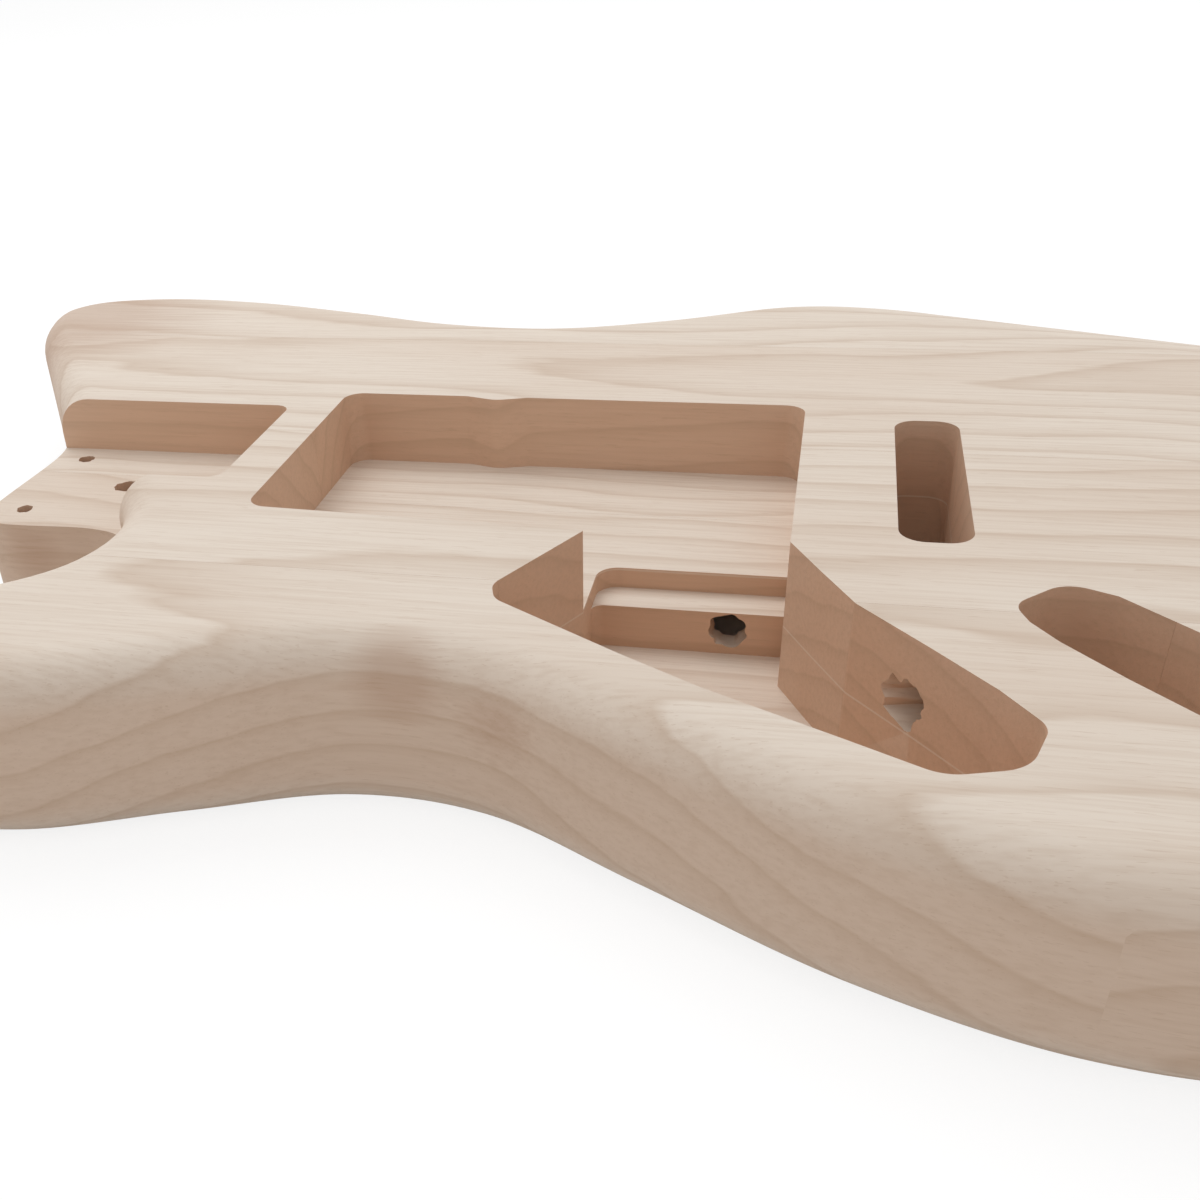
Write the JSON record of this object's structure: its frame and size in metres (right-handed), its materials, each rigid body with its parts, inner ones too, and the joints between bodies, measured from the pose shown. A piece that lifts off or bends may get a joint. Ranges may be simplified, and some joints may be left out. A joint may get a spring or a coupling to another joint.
{
  "type": "electric guitar body",
  "caption": "Bare solid wood electric guitar body, left handed, with routed neck pocket, pickup pool, control cavity, tremolo slot and jack recess.",
  "frame": {"origin": "centre of the body's plan, on its back face", "axes": "+X along the strings from the neck pocket to the tail, +Y to the bass side, +Z out of the top face"},
  "size_m": [0.4604, 0.3242, 0.0445],
  "materials": {
    "wood": "bare sanded softwood-pale hardwood, unfinished"
  },
  "bodies": {
    "root": {"treble_outer_board": "wood", "treble_inner_board": "wood", "bass_inner_board": "wood", "bass_outer_board": "wood"}
  },
  "joints": []
}
